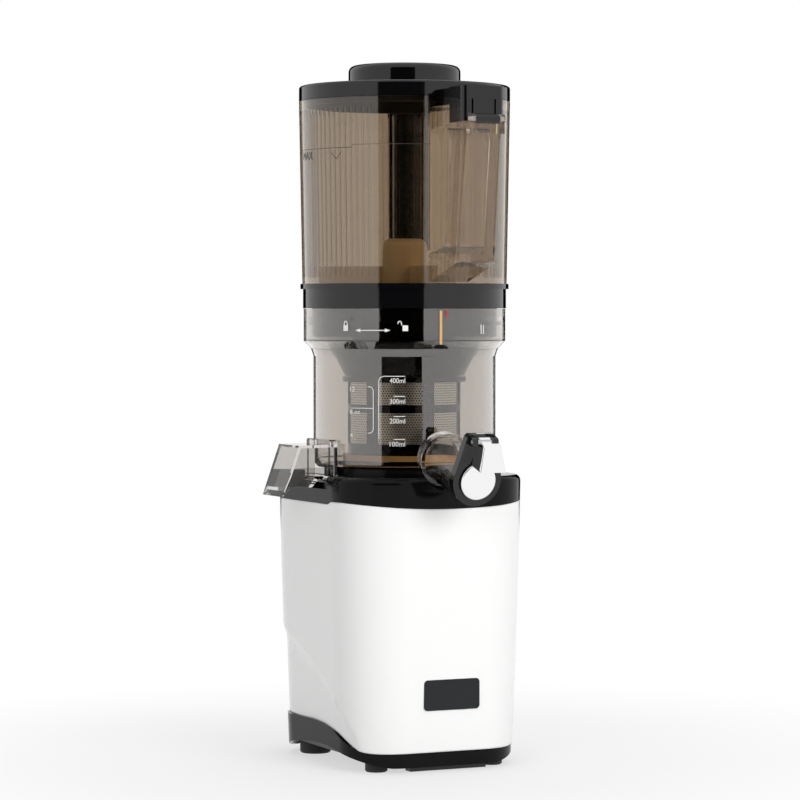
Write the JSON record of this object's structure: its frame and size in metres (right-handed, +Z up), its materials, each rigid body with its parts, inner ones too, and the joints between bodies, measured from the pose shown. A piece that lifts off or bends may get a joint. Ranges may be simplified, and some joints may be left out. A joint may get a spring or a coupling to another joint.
{
  "type": "cold press juicer",
  "caption": "Upright juicer: white motor base, clear bowl with strainer and auger, tall smoky hopper with hinged lid and handle, juice spout with flip cap and side pulp chute.",
  "frame": {"origin": "centre of the drive axis on the plane that the feet stand on", "axes": "+Z up along the drive axis, -Y towards the juice outlet and handle, -X towards the pulp spout"},
  "size_m": [0.191, 0.2487, 0.533],
  "materials": {
    "white_gloss": "gloss white moulding",
    "black_gloss": "piano black moulding",
    "black_satin": "satin black moulding",
    "grey_plastic": "satin grey moulding",
    "black_rubber": "matt rubber",
    "smoke_clear": "smoky clear plastic",
    "smoke_amber": "brown smoky clear plastic",
    "chrome": "bright chrome plate",
    "steel": "brushed",
    "iron": "laminated core steel",
    "board_green": "circuit board"
  },
  "bodies": {
    "base": {"body_shell": "white_gloss", "top_deck": "black_gloss", "plinth": "black_satin", "bottom_cover": "black_satin", "rubber_feet": "black_rubber", "front_foot_strip": "black_rubber", "badge_plate": "black_gloss", "switch_bezel": "black_satin", "cord_gland": "black_rubber", "drive_plate": "steel", "frame_posts": "steel", "motor_housing": "steel", "motor_stator": "iron", "motor_bearings": "steel", "gearbox_housing": "grey_plastic", "gearbox_cover": "grey_plastic", "gearbox_screws": "steel", "layshaft_bearings": "steel", "output_bearing": "steel", "control_board": "board_green"},
    "rotor": {"motor_rotor": "iron"},
    "layshaft": {"intermediate_gear": "steel"},
    "drive": {"output_gear": "steel"},
    "switch": {"power_switch": "black_gloss"},
    "bowl": {"juice_bowl": "smoke_clear", "bowl_seal": "black_rubber", "strainer_frame": "black_satin", "strainer_mesh": "steel", "juice_spout": "smoke_clear", "cap_holder": "black_gloss", "cap_hinge_pin": "steel", "pulp_spout": "smoke_clear", "pulp_valve": "black_rubber"},
    "cap": {"juice_cap": "chrome", "cap_lever": "chrome", "cap_seal": "black_rubber"},
    "screw": {"auger": "black_satin", "feed_rotor": "black_satin"},
    "hopper_set": {"hopper": "smoke_amber", "hopper_collar": "black_gloss", "feed_funnel": "black_satin", "hopper_gasket": "black_rubber", "handle_grip": "smoke_amber", "lid_hinge_pin": "steel"},
    "lid": {"lid_rim": "black_gloss", "lid_cap": "black_gloss", "lid_gasket": "black_rubber", "lid_arm": "black_gloss"}
  },
  "joints": [
    {"name": "motor_spin", "type": "hinge", "parent": "base", "child": "rotor", "pos_m": [0, 0, 0.12], "axis": [0, 0, 1], "continuous": true},
    {"name": "layshaft_spin", "type": "hinge", "parent": "base", "child": "layshaft", "pos_m": [0, 0.04, 0.175], "axis": [0, 0, 1], "continuous": true},
    {"name": "drive_spin", "type": "hinge", "parent": "base", "child": "drive", "pos_m": [0, 0, 0.2], "axis": [0, 0, 1], "continuous": true},
    {"name": "power_rocker", "type": "hinge", "parent": "base", "child": "switch", "pos_m": [0.06933, 0.02, 0.12], "axis": [0, -1, 0], "range_deg": [0, 12]},
    {"name": "bowl_lift", "type": "slide", "parent": "base", "child": "bowl", "axis": [0, 0, 1], "range_m": [0, 0.06]},
    {"name": "auger_spin", "type": "hinge", "parent": "bowl", "child": "screw", "pos_m": [0, 0, 0.25], "axis": [0, 0, 1], "continuous": true},
    {"name": "cap_hinge", "type": "hinge", "parent": "bowl", "child": "cap", "pos_m": [0, -0.13785, 0.24963], "axis": [-1, 0, 0], "range_deg": [0, 80]},
    {"name": "hopper_twist", "type": "hinge", "parent": "bowl", "child": "hopper_set", "pos_m": [0, 0, 0.35], "axis": [0, 0, 1], "range_deg": [0, 34]},
    {"name": "lid_hinge", "type": "hinge", "parent": "hopper_set", "child": "lid", "pos_m": [0, -0.1408, 0.485], "axis": [1, 0, 0], "range_deg": [0, 100]}
  ],
  "couplings": [
    {"joint": "layshaft_spin", "follows": "motor_spin", "ratio": -0.25},
    {"joint": "drive_spin", "follows": "motor_spin", "ratio": 0.0625},
    {"joint": "auger_spin", "follows": "motor_spin", "ratio": 0.0625}
  ]
}
